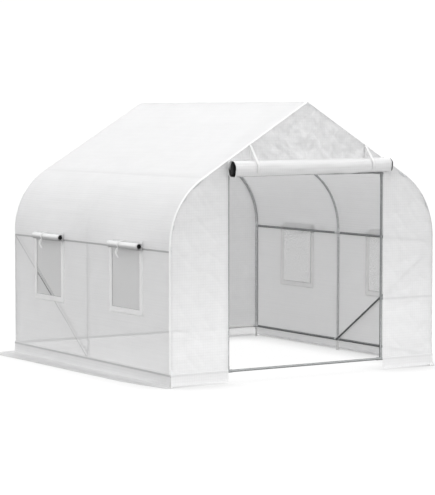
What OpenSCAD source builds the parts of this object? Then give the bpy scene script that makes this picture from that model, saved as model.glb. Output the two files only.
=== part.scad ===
// Walk-in tunnel greenhouse: a bolted tube frame of three gothic hoops under a film cover.
// Millimetres. The origin is on the ground at the middle of the plan, +Z is up and the door faces -Y.

/* [Overall size] */
// Width over the cover
width = 2400; // [1900:10:3000]
// Length over the cover
length = 2500; // [2000:10:3400]
// Height of the wall purlins above the ground
wall_h = 985; // [850:5:1200]
// Pitch of the roof, in degrees
roof_pitch = 31.2; // [26:0.1:38]
// Bend radius of the shoulders, at the tube's centre
shoulder_r = 555; // [400:5:620]

/* [Tube frame] */
// Outside diameter of the frame tubes
tube_d = 19; // [16:1:25]
// How far below the wall purlin the left and the right wall's brace ends
brace_drop = [0, 73]; // [0:1:120]
// Outside diameter of the braces and of the panel tie
brace_d = 16; // [12:1:20]
// Height of the base rails' centre above the ground
rail_h = 90; // [60:5:120]
// Wall thickness of the push-in fittings
fitting_wall = 2; // [1.5:0.5:4]
// Depth of a tube's seat in a fitting
socket_l = 25; // [18:1:40]
// Clearance all round a tube in its socket
socket_gap = 0.15; // [0.05:0.05:0.3]
// How much thinner a bend's swaged ends are
swage = 0.4; // [0.3:0.1:1]
// Thickness of a flattened strut end
lug_t = 4; // [3:0.5:6]
// Length of a flattened strut end
lug_l = 34; // [26:1:50]
// Height of the tie in the right front panel
tie_h = 553; // [300:5:900]

/* [Door] */
// Width of the doorway between the post centres
door_w = 1400; // [900:10:1500]
// Height of the door header's centre
header_h = 1530; // [1400:5:1560]
// Outside diameter of the rolled door
door_roll_d = 110; // [100:1:130]
// How far the rolled door passes each post's centre
door_roll_over = 10; // [0:5:60]
// Height of the rolled door's centre over the header
door_roll_rise = 58; // [50:1:90]
// Distance between the turns of the rolled door
door_roll_pitch = 4.5; // [3.5:0.1:5]
// How far the two door straps stand in from the post centres
strap_inset = 185; // [100:5:300]
// Width of a strap
strap_w = 20; // [15:1:40]
// Thickness of a strap
strap_t = 2; // [1:0.5:3]

/* [Windows] */
// Width of a window opening
win_w = 403; // [300:1:600]
// Height of a window's sill
win_sill_h = 533; // [400:1:700]
// Gap from the wall purlin's centre down to the top of the opening
win_drop = 12; // [11:1:60]
// Width of the binding round a window
binding_w = 46; // [25:1:60]
// Thickness of the binding
binding_t = 1.5; // [1:0.5:3]
// How far the windows stand behind the middle of their bay, on the left and right walls
win_shift = [20, 0];
// Outside diameter of a rolled flap
flap_roll_d = 56; // [45:1:70]
// Length of a rolled flap
flap_roll_l = 450; // [300:5:650]
// How far a rolled flap sits from its window's middle towards the door
flap_shift = 40; // [0:5:60]
// Distance between the turns of a rolled flap
flap_roll_pitch = 4; // [3:0.1:4.5]
// Length of the loose end of a flap's tie
tie_tail = 80; // [40:5:150]

/* [Cover] */
// Thickness of the film
film_t = 2; // [1:0.5:3]
// How far the skirt lies out over the ground
skirt_flare = 120; // [40:5:160]
// Height at which the skirt turns out
skirt_fold = 14; // [8:1:30]
// Width of the hems over the front and rear hoops
hem_w = 24; // [15:1:40]
// Thickness that a hem adds
hem_t = 1.5; // [1:0.5:3]

/* [Hidden] */
$fn = 48;
WINDOW_BAYS = [-1, 1];
SIDES = [-1, 1];
STEPS_PER_TURN = 24;
ARC_STEPS = 20;
// How far a swaged end reaches back into its bend.
swage_root = 3;
// How far the straight parts of a strap's loop run into its round part.
strap_merge = 0.4;
// How far a brace's lugs are pressed into what they are bolted to.
lug_press = 0.2;

fitting_d = tube_d + 2 * fitting_wall;
bore_d = tube_d + 2 * socket_gap;
stop_r = fitting_d / 2;
arm_l = stop_r + socket_l;

// The film lies on the fittings, just off the tubes.
cover_in = fitting_d / 2;
cover_out = cover_in + film_t;

half_w = width / 2 - cover_out;
half_l = length / 2 - cover_out;
HOOPS = [-half_l, 0, half_l];
bay_l = half_l - 2 * stop_r;

// The hoop's outline: an upright leg, a bend and a straight rafter, with straight tangents in the fittings.
arc_x = half_w - shoulder_r;
arc_z = wall_h + arm_l;
bend_a = 90 - roof_pitch;
arc_end = [arc_x + shoulder_r * cos(bend_a), arc_z + shoulder_r * sin(bend_a)];
uphill = [-cos(roof_pitch), sin(roof_pitch)];
knee = arc_end + arm_l * uphill;
ridge_z = arc_end[1] + arc_end[0] * tan(roof_pitch);
rafter_l = knee[0] / cos(roof_pitch) - 2 * stop_r;

door_x = door_w / 2;
rafter_z = ridge_z - door_x * tan(roof_pitch);
front_face = -length / 2;

door_roll_y = front_face - strap_t - door_roll_d / 2;
door_roll_z = header_h + door_roll_rise;
door_seam_z = door_roll_z + door_roll_d / 4;
door_film_l = door_seam_z - rail_h;
strap_top = ridge_z - (door_x - strap_inset) * tan(roof_pitch) - 20;

win_top = wall_h - win_drop;
win_h = win_top - win_sill_h;
flap_roll_x = width / 2 + binding_t + strap_t + flap_roll_d / 2;
flap_roll_z = win_top + flap_roll_d / 2 + 2;
flap_seam_z = flap_roll_z + flap_roll_d / 2 + 8;
flap_film_l = flap_seam_z - win_sill_h + binding_w;

// ---------------------------------------------------------------- placing

// Stands a drawing of the cross-section up, from y to y + depth.
module upright(y, depth) {
  translate([0, y + depth, 0])
    rotate([90, 0, 0])
      linear_extrude(depth)
        children();
}

// Puts children on one side of the greenhouse: -1 is the left wall, 1 is the right wall.
module on_side(side) {
  mirror([side < 0 ? 1 : 0, 0, 0])
    children();
}

// Turns a piece that stands along Z into the cross-section's plane, at an angle from +X.
module aim(angle) {
  rotate([0, 90 - angle, 0])
    children();
}

// Turns a piece that stands along Z along the length, towards the rear for 1 and the front for -1.
module aim_along(way) {
  rotate([-90 * way, 0, 0])
    children();
}

function window_y(bay, side) = bay * half_l / 2 + win_shift[side < 0 ? 0 : 1];

// ---------------------------------------------------------------- frame

module tube(l, d = tube_d) {
  cylinder(d = d, h = l);
}

// A push-in fitting: arms in the cross-section's plane at the given angles, and along the length.
// Each socket ends at a stop, where the tube seats.
module fitting(angles, ways) {
  difference() {
    union() {
      sphere(d = fitting_d);
      for (a = angles)
        aim(a)
          cylinder(d = fitting_d, h = arm_l);
      for (w = ways)
        aim_along(w)
          cylinder(d = fitting_d, h = arm_l);
    }
    for (a = angles)
      aim(a)
        translate([0, 0, stop_r])
          cylinder(d = bore_d, h = arm_l);
    for (w = ways)
      aim_along(w)
        translate([0, 0, stop_r])
          cylinder(d = bore_d, h = arm_l);
  }
}

// Which ways the tubes along the length leave the hoop at y.
function ways_at(y) = y < 0 ? [1] : y > 0 ? [-1] : [1, -1];

module feet() {
  color("#8f9395")
    for (y = HOOPS, side = SIDES)
      translate([side * half_w, y, 0])
        tube(rail_h - stop_r);
}

module legs(side) {
  color("#8f9395")
    for (y = HOOPS)
      translate([side * half_w, y, rail_h + stop_r])
        tube(wall_h - rail_h - 2 * stop_r);
}

// A bent tube whose straight ends are swaged down to seat in the fittings.
module shoulder_bends(side) {
  color("#8f9395")
    on_side(side)
      for (y = HOOPS)
        translate([arc_x, y, arc_z])
          rotate([90, 0, 0]) {
            rotate_extrude(angle = bend_a, $fn = 96)
              translate([shoulder_r, 0])
                circle(d = tube_d, $fn = 48);
            translate([shoulder_r, swage_root, 0])
              rotate([90, 0, 0])
                tube(socket_l + swage_root, tube_d - swage);
            rotate([0, 0, bend_a])
              translate([shoulder_r, -swage_root, 0])
                rotate([-90, 0, 0])
                  tube(socket_l + swage_root, tube_d - swage);
          }
}

module rafters(side) {
  color("#8f9395")
    on_side(side)
      for (y = HOOPS)
        translate([knee[0], y, knee[1]])
          aim(180 - roof_pitch)
            translate([0, 0, stop_r])
              tube(rafter_l);
}

module base_fittings() {
  color("#a5a9ab")
    for (y = HOOPS, side = SIDES)
      translate([side * half_w, y, rail_h])
        fitting(y == 0 ? [90, -90] : [90, -90, side < 0 ? 0 : 180], ways_at(y));
}

module purlin_fittings() {
  color("#a5a9ab")
    for (y = HOOPS, side = SIDES)
      translate([side * half_w, y, wall_h])
        fitting([90, -90], ways_at(y));
}

module knee_fittings() {
  color("#a5a9ab")
    for (side = SIDES)
      on_side(side)
        for (y = HOOPS)
          translate([knee[0], y, knee[1]])
            fitting([180 - roof_pitch, -roof_pitch], ways_at(y));
}

module ridge_fittings() {
  color("#a5a9ab")
    for (y = HOOPS)
      translate([0, y, ridge_z])
        fitting([-roof_pitch, 180 + roof_pitch], ways_at(y));
}

// Two tubes along the length, one in each bay, at a point of the cross-section.
module bay_tubes(x, z) {
  for (way = SIDES)
    translate([x, 0, z])
      aim_along(way)
        translate([0, 0, stop_r])
          tube(bay_l);
}

// A rail across the width between two fittings' centres.
module cross_rail(x0, x1, y, z) {
  translate([x0 + stop_r, y, z])
    aim(0)
      tube(x1 - x0 - 2 * stop_r);
}

module side_base_rails() {
  color("#8f9395")
    for (side = SIDES)
      bay_tubes(side * half_w, rail_h);
}

module front_base_rails() {
  color("#8f9395") {
    cross_rail(-half_w, -door_x, -half_l, rail_h);
    cross_rail(-door_x, door_x, -half_l, rail_h);
    cross_rail(door_x, half_w, -half_l, rail_h);
  }
}

module rear_base_rail() {
  color("#8f9395")
    cross_rail(-half_w, half_w, half_l, rail_h);
}

module wall_purlins() {
  color("#8f9395")
    for (side = SIDES)
      bay_tubes(side * half_w, wall_h);
}

module knee_purlins() {
  color("#8f9395")
    for (side = SIDES)
      bay_tubes(side * knee[0], knee[1]);
}

module ridge_poles() {
  color("#8f9395")
    bay_tubes(0, ridge_z);
}

// Each post is a long tube up to the header and a short one up to the rafter, cut to its slope.
module door_posts() {
  color("#8f9395")
    for (side = SIDES)
      on_side(side) {
        translate([door_x, -half_l, rail_h + stop_r])
          tube(header_h - rail_h - 2 * stop_r);
        difference() {
          translate([door_x, -half_l, header_h + stop_r])
            tube(rafter_z - header_h - stop_r);
          translate([door_x, -half_l, rafter_z])
            rotate([0, roof_pitch, 0])
              translate([0, 0, tube_d / 2])
                cube([4 * tube_d, 2 * tube_d, 2 * tube_d], center = true);
        }
      }
}

module door_post_fittings() {
  color("#a5a9ab")
    for (side = SIDES)
      on_side(side) {
        translate([door_x, -half_l, rail_h])
          fitting([0, 90, 180], []);
        translate([door_x, -half_l, header_h])
          fitting([90, -90, 180], []);
      }
}

module door_header() {
  color("#8f9395")
    cross_rail(-door_x, door_x, -half_l, header_h);
}

// A strut along +X between two bolt centres, with its ends flattened. Its lugs are lug_t thick in Y.
module strut(l) {
  translate([lug_l, 0, 0])
    rotate([0, 90, 0])
      tube(l - 2 * lug_l, brace_d);
  for (x = [0, l])
    translate([x, 0, 0])
      rotate([90, 0, 0])
        translate([0, 0, -lug_t / 2])
          linear_extrude(lug_t) {
            circle(d = brace_d);
            translate([x == 0 ? 0 : -lug_l - brace_d / 2, -brace_d / 2])
              square([lug_l + brace_d / 2, brace_d]);
          }
}

module front_panel_tie() {
  color("#8f9395")
    translate([door_x, -half_l + tube_d / 2 + lug_t / 2, tie_h])
      strut(half_w - door_x);
}

// One brace in each wall, on the inside of the legs: the left wall's in the rear bay and the right
// wall's in the front bay. It is bolted to the middle hoop's base fitting and runs up to the outer
// leg. Where it ends on the bare leg, below the purlin's fitting, it leans out by the fitting's wall.
module wall_braces() {
  color("#8f9395")
    for (side = SIDES) {
      drop = brace_drop[side < 0 ? 0 : 1];
      brace_rise = wall_h - drop - rail_h;
      lean = drop > arm_l ? atan2(fitting_wall, half_l) : 0;
      translate([side * (half_w - stop_r - lug_t / 2 + lug_press), 0, rail_h])
        rotate([0, 0, -side * 90])
          rotate([0, -atan2(brace_rise, half_l), lean])
            strut(norm([half_l, brace_rise]));
    }
}

// ---------------------------------------------------------------- cover

// The shoulder's arc at a distance outside the hoop's centre, from the wall up to the roof.
function shoulder_arc(off) = [for (i = [0:ARC_STEPS]) let (a = bend_a * i / ARC_STEPS, r = shoulder_r + off)
  [arc_x + r * cos(a), arc_z + r * sin(a)]];

// The ridge of the same offset outline.
function ridge_at(off) = [0, ridge_z + off / cos(roof_pitch)];

// The points of the other half, in the order that closes the outline.
function other_half(points) = [for (i = [len(points) - 1:-1:0]) [-points[i][0], points[i][1]]];

// The cross-section inside the hoops' outline, at a distance outside the hoop's centre.
module cross_section(off) {
  half = concat([[half_w + off, rail_h]], shoulder_arc(off));
  polygon(concat(half, [ridge_at(off)], other_half(half)));
}

module roof_cover(side) {
  color("#f7f7f7")
    on_side(side)
      upright(front_face, length)
        polygon([shoulder_arc(cover_in)[ARC_STEPS], shoulder_arc(cover_out)[ARC_STEPS], ridge_at(cover_out),
          ridge_at(cover_in)]);
}

module shoulder_cover(side) {
  color("#f1f1f1")
    on_side(side)
      translate([arc_x, length / 2, arc_z])
        rotate([90, 0, 0])
          rotate_extrude(angle = bend_a, $fn = 96)
            translate([shoulder_r + cover_in, 0])
              square([film_t, length]);
}

module wall_cover(side) {
  color("#e6e6e6")
    on_side(side)
      difference() {
        translate([half_w + cover_in, front_face, rail_h])
          cube([film_t, length, arc_z - rail_h]);
        for (bay = WINDOW_BAYS)
          translate([half_w, window_y(bay, side) - win_w / 2, win_sill_h])
            cube([width / 2, win_w, win_h]);
      }
}

// The part of the front film between two heights, from one place across to another.
module front_film(x0, x1, z0, z1) {
  color("#ececec")
    upright(front_face, film_t)
      intersection() {
        cross_section(cover_in);
        translate([x0, z0])
          square([x1 - x0, z1 - z0]);
      }
}

module front_gable_cover() {
  front_film(-width, width, header_h, 2 * ridge_z);
}

module front_left_panel() {
  front_film(-width, -door_x - tube_d / 4, 0, header_h);
}

module front_right_panel() {
  front_film(door_x + tube_d / 4, width, 0, header_h);
}

module rear_cover() {
  color("#e6e6e6")
    upright(length / 2 - film_t, film_t)
      cross_section(cover_in);
}

// Cuts away what lies past a line in plan that starts at a corner and runs out at an angle from +X.
module corner_cut(angle) {
  rotate([0, 0, angle])
    translate([-2 * skirt_flare, 0, -1])
      cube([4 * skirt_flare, 4 * skirt_flare, rail_h]);
}

// The side skirts hang from the base rails down to the fold.
module side_skirts() {
  color("#eeeeee")
    for (side = SIDES)
      on_side(side)
        translate([half_w + cover_in, front_face, skirt_fold])
          cube([film_t, length, rail_h - skirt_fold]);
}

// The rear skirt does the same, and the front ones run down to the ground beside the doorway.
module end_skirts() {
  front_l = half_w + cover_in - door_x - tube_d / 4;
  color("#eeeeee") {
    translate([-half_w - cover_in, length / 2 - film_t, skirt_fold])
      cube([2 * (half_w + cover_in), film_t, rail_h - skirt_fold]);
    for (side = SIDES)
      on_side(side)
        translate([door_x + tube_d / 4, front_face, 0])
          cube([front_l, film_t, rail_h]);
  }
}

// A skirt's flap, from its fold out over the ground, along a run of the given length.
module skirt_flap(run) {
  linear_extrude(run)
    polygon([[-film_t, skirt_fold - film_t], [-film_t, skirt_fold], [0, skirt_fold], [skirt_flare, film_t],
      [skirt_flare, 0]]);
}

// The side flaps narrow to nothing at the front corners and meet the rear flap in a mitre.
module side_skirt_flaps() {
  color("#eeeeee")
    for (side = SIDES)
      on_side(side)
        difference() {
          translate([width / 2, length / 2 + skirt_flare, 0])
            rotate([90, 0, 0])
              skirt_flap(length + skirt_flare);
          translate([width / 2, length / 2, 0])
            corner_cut(45);
          translate([width / 2, front_face, 0])
            mirror([0, 1, 0])
              corner_cut(-60);
        }
}

module rear_skirt_flap() {
  color("#eeeeee")
    difference() {
      translate([-width / 2 - skirt_flare, length / 2, 0])
        rotate([90, 0, 90])
          skirt_flap(width + 2 * skirt_flare);
      for (side = SIDES)
        on_side(side)
          translate([width / 2, length / 2, 0])
            mirror([1, -1, 0])
              corner_cut(45);
    }
}

// ---------------------------------------------------------------- windows

module window_meshes(side) {
  color("#c9cbcc")
    on_side(side)
      for (bay = WINDOW_BAYS)
        translate([half_w + cover_in, window_y(bay, side) - win_w / 2, win_sill_h])
          cube([film_t / 2, win_w, win_h]);
}

module window_bindings() {
  color("#fafafa")
    for (side = SIDES, bay = WINDOW_BAYS)
      on_side(side)
        translate([width / 2, window_y(bay, side), 0])
          difference() {
            translate([0, -win_w / 2 - binding_w, win_sill_h - binding_w])
              cube([binding_t, win_w + 2 * binding_w, win_h + 2 * binding_w]);
            translate([-1, -win_w / 2, win_sill_h])
              cube([binding_t + 2, win_w, win_h]);
          }
}

// A rolled sheet seen from its end: a spiral of film whose outer end runs straight up to a seam.
// The roll's centre is at the origin and its back, where the seam is, is at x = -roll_d / 2.
module rolled_sheet(roll_d, pitch, sheet_l, seam_z, seam_depth) {
  outer_r = roll_d / 2 - film_t / 2;
  core_r = sqrt(outer_r * outer_r - pitch * sheet_l / PI);
  turns = (outer_r - core_r) / pitch;
  steps = ceil(turns * STEPS_PER_TURN);
  function on_roll(k, side) =
    let (r = outer_r - pitch * turns * k / steps + side * film_t / 2, a = 180 + 360 * turns * k / steps)
      [r * cos(a), r * sin(a)];
  polygon(concat([for (k = [0:steps]) on_roll(k, 1)], [for (k = [steps:-1:0]) on_roll(k, -1)]));
  translate([-roll_d / 2, 0])
    square([film_t, seam_z]);
  translate([-roll_d / 2 - seam_depth, seam_z - 10])
    square([seam_depth + film_t, 10]);
}

module window_flaps(side) {
  color("#ffffff")
    on_side(side)
      for (bay = WINDOW_BAYS)
        translate([flap_roll_x, 0, flap_roll_z])
          upright(window_y(bay, side) - flap_shift - flap_roll_l / 2, flap_roll_l)
            rolled_sheet(flap_roll_d, flap_roll_pitch, flap_film_l, flap_seam_z - flap_roll_z, strap_t);
}

// A strap's loop round a roll, seen from its end. It hangs from a point on the wall behind the roll.
module strap_loop(roll_d, rise) {
  back = -roll_d / 2 - strap_t;
  function touch(r) =
    let (apex = [back, rise], d = norm(apex), lean = atan2(apex[0], apex[1]), a = acos(r / d) + lean)
      [r * sin(a), r * cos(a)];
  difference() {
    union() {
      circle(d = roll_d + 2 * strap_t);
      polygon([[back, 0], [back, rise + strap_t], [back + strap_t, rise + strap_t], touch(-back - strap_merge), [0, 0]]);
    }
    circle(d = roll_d);
    polygon([[back + strap_t, 0], [back + strap_t, rise - 3 * strap_t], touch(roll_d / 2 - strap_merge), [0, 0]]);
  }
}

module window_ties() {
  color("#ffffff")
    for (side = SIDES, bay = WINDOW_BAYS)
      on_side(side)
        translate([flap_roll_x, 0, flap_roll_z])
          upright(window_y(bay, side) - flap_shift + flap_roll_l / 8 - strap_w / 2, strap_w)
            union() {
              strap_loop(flap_roll_d, flap_roll_d);
              translate([-strap_t / 2, -flap_roll_d / 2 - strap_t - tie_tail])
                square([strap_t, tie_tail + strap_t / 2]);
            }
}

// ---------------------------------------------------------------- door

module door_roll() {
  color("#ffffff")
    translate([-door_x - door_roll_over, door_roll_y, door_roll_z])
      rotate([90, 0, 90])
        linear_extrude(door_w + 2 * door_roll_over)
          mirror([1, 0])
            rolled_sheet(door_roll_d, door_roll_pitch, door_film_l, door_seam_z - door_roll_z, strap_t);
}

module door_ties() {
  color("#ffffff")
    for (side = SIDES)
      translate([side * (door_x - strap_inset) - strap_w / 2, door_roll_y, door_roll_z])
        rotate([90, 0, 90])
          linear_extrude(strap_w)
            mirror([1, 0])
              strap_loop(door_roll_d, strap_top - door_roll_z);
}

// ---------------------------------------------------------------- trim

// The doubled hems of the cover's front and rear edges, over the walls, shoulders and roof.
module edge_hems() {
  color("#ffffff")
    for (y = [front_face, length / 2 - hem_w])
      upright(y, hem_w)
        difference() {
          cross_section(cover_out + hem_t);
          cross_section(cover_out);
        }
}

// ---------------------------------------------------------------- output

feet();
legs(-1);  // left_legs
legs(1);  // right_legs
shoulder_bends(-1);  // left_shoulder_bends
shoulder_bends(1);  // right_shoulder_bends
rafters(-1);  // left_rafters
rafters(1);  // right_rafters
base_fittings();
purlin_fittings();
knee_fittings();
ridge_fittings();
side_base_rails();
front_base_rails();
rear_base_rail();
wall_purlins();
knee_purlins();
ridge_poles();
door_posts();
door_post_fittings();
door_header();
front_panel_tie();
wall_braces();
roof_cover(-1);  // left_roof_cover
roof_cover(1);  // right_roof_cover
shoulder_cover(-1);  // left_shoulder_cover
shoulder_cover(1);  // right_shoulder_cover
wall_cover(-1);  // left_wall_cover
wall_cover(1);  // right_wall_cover
front_gable_cover();
front_left_panel();
front_right_panel();
rear_cover();
side_skirts();
end_skirts();
side_skirt_flaps();
rear_skirt_flap();
window_meshes(-1);  // left_window_meshes
window_meshes(1);  // right_window_meshes
window_bindings();
window_flaps(-1);  // left_window_flaps
window_flaps(1);  // right_window_flaps
window_ties();
door_roll();
door_ties();
edge_hems();
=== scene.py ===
# %% [markdown]
# # A walk-in tunnel greenhouse
#
# The real thing is a frame of thin galvanised tubes, bent into three gothic hoops, with one big
# sheet of white woven film pulled over it. The two ends are closed with flat sheets, the door is
# rolled up over its opening, and four netted windows have flaps that are rolled up too. This
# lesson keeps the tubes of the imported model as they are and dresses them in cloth.

# %% Load the frame
import math

import bpy
import numpy as np
from mathutils import Matrix, Vector, geometry, noise


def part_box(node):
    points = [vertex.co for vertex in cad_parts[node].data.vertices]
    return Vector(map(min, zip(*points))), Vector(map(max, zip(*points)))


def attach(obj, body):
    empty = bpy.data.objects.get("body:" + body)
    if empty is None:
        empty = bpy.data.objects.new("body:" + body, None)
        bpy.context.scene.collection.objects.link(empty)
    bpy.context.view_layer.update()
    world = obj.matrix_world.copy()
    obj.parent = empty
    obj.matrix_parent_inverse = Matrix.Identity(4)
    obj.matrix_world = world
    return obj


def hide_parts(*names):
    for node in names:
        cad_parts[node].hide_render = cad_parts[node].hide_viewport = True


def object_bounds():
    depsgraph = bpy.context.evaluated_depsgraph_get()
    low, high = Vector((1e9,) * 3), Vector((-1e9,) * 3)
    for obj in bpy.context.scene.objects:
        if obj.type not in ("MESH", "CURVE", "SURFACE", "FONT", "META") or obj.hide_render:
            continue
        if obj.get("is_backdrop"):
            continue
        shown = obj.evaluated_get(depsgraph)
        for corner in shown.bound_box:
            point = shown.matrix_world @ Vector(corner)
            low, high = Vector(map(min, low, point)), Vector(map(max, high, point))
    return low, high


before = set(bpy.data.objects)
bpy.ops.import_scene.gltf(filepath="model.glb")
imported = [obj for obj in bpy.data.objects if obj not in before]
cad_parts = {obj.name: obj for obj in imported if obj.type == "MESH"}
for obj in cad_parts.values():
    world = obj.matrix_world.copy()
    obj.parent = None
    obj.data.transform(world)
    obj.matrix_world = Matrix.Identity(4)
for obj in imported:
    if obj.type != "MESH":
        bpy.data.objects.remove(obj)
cad_low, cad_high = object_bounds()
print("frame:", len(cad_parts), "nodes, box", tuple(cad_low), tuple(cad_high))

# %% [markdown]
# ## Camera, light and floor
#
# A white object on a white ground only shows its form through small steps of grey. So the studio
# is a bright even dome, one wide soft box straight overhead and a weak low one in front: the roof
# comes out lightest, the front next and brightest at its foot, and the long wall darkest. What
# the camera sees of the floor mostly glows by itself and is only partly lit, which keeps it white.
# Its soft contact shadow is painted: the glow is dimmed by ambient occlusion near the walls. The
# floor inside is painted darker where it is seen through the film, painted shade. Every other ray
# meets plain pale paper.

# %% Camera
scene = bpy.context.scene
camera = bpy.data.objects.new("camera", bpy.data.cameras.new("camera"))
camera.data.lens = 142.583
camera.data.clip_end = 200
camera.location = (-8.4220, -13.2833, 1.9774)
camera.rotation_euler = (math.radians(90 - 3.9033), 0, math.radians(-32.3535))
scene.collection.objects.link(camera)
scene.camera = camera
scene.view_settings.view_transform = "Standard"
print(f"camera: {camera.data.lens:.0f} mm, {camera.location.length:.1f} m away")


# %% Helpers for node trees
WHITE = (1, 1, 1, 1)


class Field:
    """A number that a node puts out. Python's signs on it add Math nodes to its tree."""

    def __init__(self, socket):
        self.socket = socket

    def math(self, operation, *others):
        return calc(self.socket.id_data, operation, self, *others)


for word, operation in (("add", "ADD"), ("sub", "SUBTRACT"), ("mul", "MULTIPLY"), ("truediv", "DIVIDE")):
    setattr(Field, f"__{word}__", lambda a, b, sign=operation: calc(a.socket.id_data, sign, a, b))
    setattr(Field, f"__r{word}__", lambda a, b, sign=operation: calc(a.socket.id_data, sign, b, a))


def put(tree, kind, inputs=(), **settings):
    """Adds a node, a shader one unless its kind says otherwise. A Field or a socket among its inputs
    is linked, and anything else is set as a value."""
    made = tree.nodes.new(kind if "Node" in kind else f"ShaderNode{kind}")
    for key, value in settings.items():
        setattr(made, key, value)
    for key, value in dict(inputs).items():
        value = value.socket if isinstance(value, Field) else value
        if isinstance(value, bpy.types.NodeSocket):
            tree.links.new(value, made.inputs[key])
        else:
            made.inputs[key].default_value = value
    return made


def calc(tree, operation, *values):
    """One Math node."""
    return Field(put(tree, "Math", enumerate(values), operation=operation).outputs[0])


def graded(value, low, high, first, last):
    """Runs from first to last while value goes from low to high, and stays put beyond them."""
    return Field(put(value.socket.id_data, "MapRange", {"Value": value, "From Min": low,
        "From Max": high, "To Min": first, "To Max": last}).outputs[0])


def split(tree, vector):
    """The X, Y and Z of a vector."""
    return [Field(axis) for axis in put(tree, "SeparateXYZ", {0: vector}).outputs]


def joined(tree, *axes):
    """The vector of an X, a Y and a Z."""
    return put(tree, "CombineXYZ", enumerate(axes)).outputs[0]


def texture(tree, kind, inputs, **settings):
    """The grey pattern of a texture node."""
    return Field(put(tree, f"Tex{kind}", inputs, **settings).outputs["Fac"])


# %% Helpers for materials
def new_material(name):
    """A material with an empty node tree."""
    made = bpy.data.materials.new(name)
    made.use_nodes = True
    made.node_tree.nodes.clear()
    return made, made.node_tree


def object_place(tree):
    """The X, Y and Z of a point on its object."""
    return split(tree, put(tree, "TexCoord").outputs["Object"])


def flat_place(tree):
    """The place of a point in its flat sheet, in metres."""
    return put(tree, "UVMap", uv_map="Cut").outputs["UV"]


def finished(made, shader):
    """The material with its surface in place."""
    put(made.node_tree, "OutputMaterial", {"Surface": shader})
    return made


def mixed(tree, share, first, second):
    """Two shaders mixed, with this share of the second one."""
    return put(tree, "MixShader", {0: share, 1: first, 2: second}).outputs[0]


# %% Dome
scene.world = bpy.data.worlds.new("studio")
scene.world.use_nodes = True
dome = scene.world.node_tree
dome.nodes.clear()
soft = put(dome, "Background", {"Color": WHITE, "Strength": 1.27})
seen = put(dome, "Background", {"Color": WHITE, "Strength": 1.05})
is_seen = put(dome, "LightPath").outputs["Is Camera Ray"]
put(dome, "OutputWorld", {"Surface": mixed(dome, is_seen, soft.outputs[0], seen.outputs[0])})


# %% Lamps
def soft_box(name, watts, size, place, towards):
    lamp = bpy.data.lights.new(name, "AREA")
    lamp.shape, lamp.energy = "RECTANGLE", watts
    lamp.size, lamp.size_y = size
    held = bpy.data.objects.new(name, lamp)
    held.location = place
    held.rotation_mode = "QUATERNION"
    held.rotation_quaternion = Vector(towards).to_track_quat("-Z", "Y")
    held.visible_camera = False
    scene.collection.objects.link(held)


soft_box("key", 28, (5, 5), (0, 0, 5), (0, 0, -1))
soft_box("fill", 8, (3.4, 0.3), (0, -2.3, 0.15), (0, 1, 0.1))
print("lights: an even dome, a wide box overhead and a low one in front")

# %% Floor
FLOOR_REACH, FOOTPRINT = 40, 1.2
floor_mesh = bpy.data.meshes.new("floor")
floor_corners = [(x * FLOOR_REACH, y * FLOOR_REACH, 0) for x, y in ((-1, -1), (1, -1), (1, 1), (-1, 1))]
floor_mesh.from_pydata(floor_corners, [], [(0, 1, 2, 3)])
floor = bpy.data.objects.new("floor", floor_mesh)
scene.collection.objects.link(floor)
paper, tree = new_material("floor")
ray = put(tree, "LightPath").outputs
# Painted shadow: the glow is dimmed by ambient occlusion near walls, and painted shade dims it where the
# floor is seen through the film.
contact_shadow_ao = Field(put(tree, "AmbientOcclusion", {"Distance": 0.35}, samples=8).outputs["AO"])
painted_shade_behind_film = Field(ray["Transparent Depth"]).math("GREATER_THAN", 0.5)
for place in object_place(tree)[:2]:
    painted_shade_behind_film = painted_shade_behind_film * place.math("ABSOLUTE").math("LESS_THAN", FOOTPRINT)
bright = (0.48 + contact_shadow_ao * 0.46) * (1.0 - painted_shade_behind_film * 0.3)  # darker in nooks and behind film
glow = put(tree, "Emission", {"Color": WHITE, "Strength": bright})
lit = put(tree, "BsdfDiffuse", {"Color": (0.10, 0.10, 0.10, 1)})
summed = put(tree, "AddShader", {0: lit.outputs[0], 1: glow.outputs[0]})
plain = put(tree, "BsdfDiffuse", {"Color": (0.3, 0.3, 0.3, 1)})
ground = mixed(tree, ray["Is Camera Ray"], plain.outputs[0], summed.outputs[0])
floor_mesh.materials.append(finished(paper, ground))
floor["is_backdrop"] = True
print("floor: white paper that mostly glows by itself")

# %% [markdown]
# ## Sizes, read from the frame
#
# The film lies just outside the hoops, so every cloth follows the same outline: an upright wall,
# a round shoulder and a straight roof slope. The outline's few numbers come from the boxes of
# the wall, shoulder and roof solids, and a point on it is found from its distance up the cloth.

# %% The outline
wall_low, wall_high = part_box("right_wall_cover")
shoulder_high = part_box("right_shoulder_cover")[1]
roof_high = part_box("right_roof_cover")[1]
leg_low, leg_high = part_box("right_legs")
tube_r = (leg_high.x - leg_low.x) / 2
hoop_x = leg_low.x + tube_r
hoop_y = leg_high.y - tube_r
cloth_gap = (wall_low.x + wall_high.x) / 2 - hoop_x
pitch = math.atan2(roof_high.z - shoulder_high.z, roof_high.x)
bend = math.pi / 2 - pitch
bend_r = (shoulder_high.z - wall_high.z) / math.sin(bend) - (wall_high.x - hoop_x)
arc_x, arc_z = hoop_x - bend_r, wall_high.z
rail_z, purlin_z, knee_z, tie_z = (sum(corner.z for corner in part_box(node)) / 2
    for node in ("side_base_rails", "wall_purlins", "knee_purlins", "front_panel_tie"))
knee_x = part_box("knee_purlins")[1].x - tube_r
header_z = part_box("front_gable_cover")[0].z
panel_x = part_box("front_right_panel")[0].x
base_z = rail_z - 0.004  # the film's foot, a little below the middle of the rail
WALL = arc_z - base_z
ARC = (bend_r + cloth_gap) * bend
slope_x = arc_x + (bend_r + cloth_gap) * math.cos(bend)
SLOPE = slope_x / math.cos(pitch)
HALF = WALL + ARC + SLOPE
KNEE = HALF - knee_x / math.cos(pitch)
PURLIN = purlin_z - base_z
print(f"cloth from base to ridge {HALF:.3f} m, pitch {math.degrees(pitch):.1f} degrees")


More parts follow.
